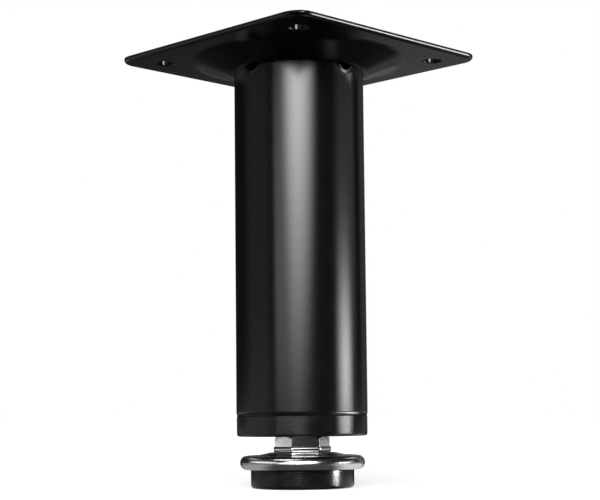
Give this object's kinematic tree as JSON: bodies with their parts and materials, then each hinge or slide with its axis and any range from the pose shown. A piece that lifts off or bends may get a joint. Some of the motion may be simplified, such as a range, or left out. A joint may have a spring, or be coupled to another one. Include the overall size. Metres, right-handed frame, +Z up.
{
  "type": "adjustable furniture leg",
  "caption": "Round black steel furniture leg with a square screw-on plate on top and a levelling foot that screws in and out below.",
  "frame": {"origin": "on the floor, at the middle of the glide pad's underside, with the foot screwed right in", "axes": "+Z up along the tube towards the mounting plate; the plate's sides run along X and Y"},
  "size_m": [0.06, 0.06, 0.0998],
  "materials": {
    "black_powder_coat": "satin black powder coat over steel",
    "black_plastic": "moulded black plastic with a fine grain",
    "bright_plate": "bright plated steel",
    "zinc_steel": "zinc-plated steel"
  },
  "bodies": {
    "foot": {"base_disc": "bright_plate", "glide_pad": "black_plastic"},
    "spindle": {"spindle": "bright_plate"},
    "leg": {"mounting_plate": "black_powder_coat", "leg_tube": "black_powder_coat", "end_insert": "black_plastic", "captive_nut": "zinc_steel"}
  },
  "joints": [
    {"name": "spindle_turn", "type": "hinge", "parent": "foot", "child": "spindle", "pos_m": [0, 0, 0.008], "axis": [0, 0, -1], "range_deg": [0, 5760]},
    {"name": "leg_height", "type": "slide", "parent": "foot", "child": "leg", "axis": [0, 0, 1], "range_m": [0, 0.02]}
  ],
  "couplings": [
    {"joint": "spindle_turn", "follows": "leg_height", "rad_per_m": 5026.5}
  ]
}
